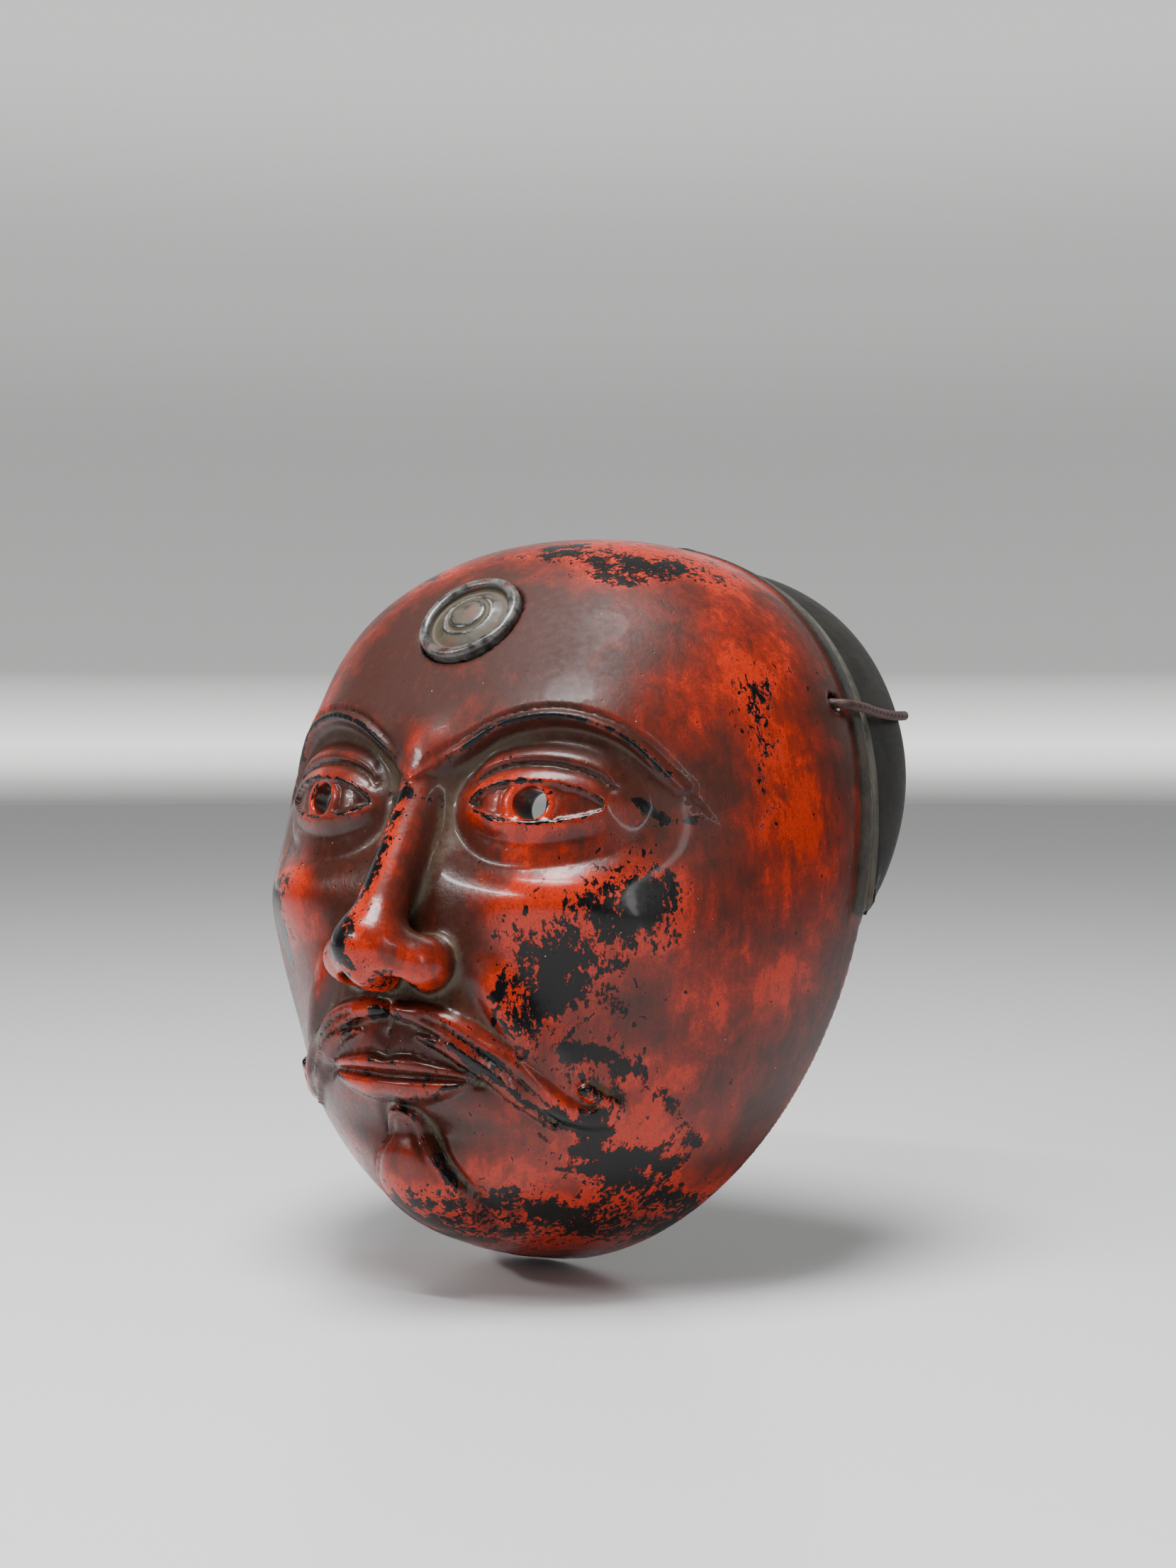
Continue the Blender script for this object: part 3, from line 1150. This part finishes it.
def make_boss():
    """A turned disc: a rounded rim, a groove, and a low dome with a ring cut into it."""
    turns = 160
    rim_w, groove, dome_h = 3.4, 0.9, 3.2
    dome_r = BOSS_R - rim_w - groove
    floor = BOSS_OUT - 2.2
    round_r = (dome_r**2 + dome_h**2) / (2 * dome_h)
    middle = floor + dome_h - round_r
    rim = [(BOSS_R - rim_w / 2 + rim_w / 2 * math.cos(a), BOSS_OUT - rim_w / 2 + rim_w / 2 * math.sin(a))
           for a in np.linspace(0, math.pi, 17)]
    dome = [(x, middle + math.sqrt(round_r**2 - x * x) - 0.7 * crest(x - 6, 0.6))
            for x in np.linspace(dome_r, 0.25, 40)]
    foot = [(0.25, -BOSS_SUNK), (BOSS_R - 0.5, -BOSS_SUNK), (BOSS_R, -BOSS_SUNK + 0.5)]
    profile = np.array(foot + rim + [(BOSS_R - rim_w, floor + 0.4), (BOSS_R - rim_w - 0.4, floor)] + dome)
    a = np.linspace(0, 2 * math.pi, turns, endpoint=False)[:, None]
    n = forehead_normal()
    side = np.array([1.0, 0, 0])
    up = np.cross(n, side)
    points = np.concatenate([
        boss_centre() + r * (np.cos(a) * side + np.sin(a) * up) + h * n for r, h in profile])
    worked = ease((np.repeat(profile[:, 1], turns) + BOSS_SUNK) / 2)[:, None]
    points = points + n * worked * (hand_made(points, 6, 0.16) + hand_made(points, 2.1, 0.05))[:, None]
    ends = [boss_centre() - BOSS_SUNK * n, boss_centre() + (floor + dome_h) * n]
    piece = capped_tube("boss", points, turns, ends)
    measure_shape(piece, 30)
    stand_for(piece, "brow_boss", "red_lacquer", boss_lacquer())


# ---- the cord ----


def braid(name, path):
    """A round braid of eight strands along a path in the upright frame."""
    sides, ring_gap, pitch = 22, 0.4, 6.2
    length = np.linalg.norm(np.diff(path, axis=0), axis=1).sum()
    line = smooth_curve(path, int(length / ring_gap))
    along = unit(np.gradient(line, axis=0))
    across = unit(np.cross(along, np.array([0.05, 0.1, 1.0])))
    over = np.cross(across, along)
    run = np.linspace(0, length, len(line))[:, None]
    a = np.linspace(0, 2 * math.pi, sides, endpoint=False)[None, :]
    right = 2 * a + run * (2 * math.pi / pitch)
    left = 2 * a - run * (2 * math.pi / pitch)
    on_top = np.sin(right + left) > 0
    strand = np.where(on_top, np.abs(np.cos(right)), np.abs(np.cos(left))) ** 0.6
    radius = CORD_D / 2 * (0.84 + 0.16 * strand)
    points = line[:, None, :] + radius[..., None] * (
        np.cos(a)[..., None] * across[:, None, :] + np.sin(a)[..., None] * over[:, None, :])
    piece = capped_tube(name, points.reshape(-1, 3), sides, [line[0], line[-1]])
    write_attribute(piece, "proud", np.concatenate([(strand - 0.6).ravel(), [0, 0]]))
    return piece


def knot_path(side):
    """A little over two and a half turns round the cord's end, and a short tail."""
    x0, y0, z0 = CORD_HALF_ROUTE[0]
    turns = np.linspace(0, 2.6 * 2 * math.pi, 34)
    coil_r = KNOT_R - CORD_D / 2 - 0.1
    x = np.linspace(x0 - 1.9, x0 - KNOT_W + 2.0, len(turns))
    coil = np.stack([x, y0 + coil_r * np.cos(turns), z0 + coil_r * np.sin(turns)], -1)
    tail = [(x0 - 9.5, y0 - 0.8, z0 - 3.4), (x0 - 12.5, y0 - 1.5, z0 - 5.6), (x0 - 14.5, y0 - 1.2, z0 - 9.5)]
    return np.vstack([coil, tail]) * (side, 1, 1)


def make_cord():
    """The hanging cord and the two knots inside the shell that stop it."""
    cord = braid("cord", CORD_ROUTE)
    stand_for(cord, "hanging_cord", "braided_cord", braided_silk())
    for side, name in ((1, "left"), (-1, "right")):
        knot = braid(name + "_knot", knot_path(side))
        stand_for(knot, name + "_stopper_knot", "braided_cord", braided_silk())


# ---- the pads ----


def inflate(piece, held, pressure, cap_mm):
    """Blows a closed cloth piece up, with the held points fixed, and keeps every point within cap_mm."""
    grow = 25.0         # times life size, while the cloth is worked out
    start = points_of(piece)
    piece.data.vertices.foreach_set("co", (start * grow).ravel())
    group = piece.vertex_groups.new(name="held")
    group.add([int(i) for i in np.flatnonzero(held)], 1.0, "REPLACE")
    cloth = piece.modifiers.new("cloth", "CLOTH")
    settings = {
        "vertex_group_mass": "held", "use_pressure": True, "uniform_pressure_force": pressure, "quality": 6,
        "tension_stiffness": 30, "compression_stiffness": 30, "shear_stiffness": 12, "bending_stiffness": 0.6}
    for name, value in settings.items():
        setattr(cloth.settings, name, value)
    cloth.settings.effector_weights.gravity = 0
    for frame_number in range(1, 21):
        bpy.context.scene.frame_set(frame_number)
    result = piece.evaluated_get(bpy.context.evaluated_depsgraph_get()).to_mesh()
    end = read(result.vertices, "co", 3) / grow
    piece.modifiers.clear()
    piece.vertex_groups.clear()
    bpy.context.scene.frame_set(1)
    move = end - start
    far = np.linalg.norm(move, axis=1, keepdims=True)
    end = start + move * np.minimum(1, cap_mm * MM / np.maximum(far, 1e-9))
    piece.data.vertices.foreach_set("co", end.ravel())
    piece.data.update()


def make_pad(name, node, v_range, a_range, rows, columns, mirrored=False):
    """A stuffed cotton pad on the inside of the shell, closed round its edge."""
    s = np.linspace(-1, 1, rows)[:, None]
    t = np.linspace(-1, 1, columns)[None, :]
    rounded = 1 - 0.10 * (s**4) * (t**4)        # draws the patch's corners in
    v = v_range[0] + (v_range[1] - v_range[0]) * (1 + s * rounded) / 2
    a = a_range[0] + (a_range[1] - a_range[0]) * (1 + t * rounded) / 2
    crown = ((1 - s**4) * (1 - t**4)) ** 0.5
    back = egg(v, a, WALL + PAD_GAP)
    front = egg(v, a, WALL + PAD_GAP + 1.2 + 3.4 * crown)
    points = np.concatenate([back.reshape(-1, 3), front.reshape(-1, 3)])
    if mirrored:
        points[:, 0] *= -1
    m = rows * columns
    edge = np.concatenate([
        np.arange(columns), np.arange(1, rows) * columns + columns - 1,
        (rows - 1) * columns + np.arange(columns - 2, -1, -1), np.arange(rows - 2, 0, -1) * columns])
    round_edge = np.stack([edge, np.roll(edge, -1), np.roll(edge, -1) + m, edge + m], -1)
    quads = grid_quads(rows, columns)
    piece = new_mesh(name, placed(points), [np.concatenate([quads[:, ::-1], quads + m, round_edge])])
    outwards(piece)
    inflate(piece, np.arange(2 * m) < m, 5.0, 3.0)
    smooth = piece.modifiers.new("round", "SUBSURF")
    smooth.levels = smooth.render_levels = 1
    apply_modifiers(piece)
    measure_shape(piece, 10)
    stand_for(piece, node, "pad_cloth", cotton())


def make_pads():
    """One pad for the brow and one for each cheek, by height angle and side angle in degrees."""
    make_pad("pad_brow", "brow_pad", (32, 46), (-26, 26), 16, 44)
    make_pad("pad_left", "left_cheek_pad", (-30, -8), (38, 62), 28, 24)
    make_pad("pad_right", "right_cheek_pad", (-30, -8), (38, 62), 28, 24, mirrored=True)


set_camera()
make_cord()
set_stage()
make_face()
make_band()
make_boss()
make_pads()
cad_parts["bamboo_pegs"].data.materials.clear()
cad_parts["bamboo_pegs"].data.materials.append(bamboo())
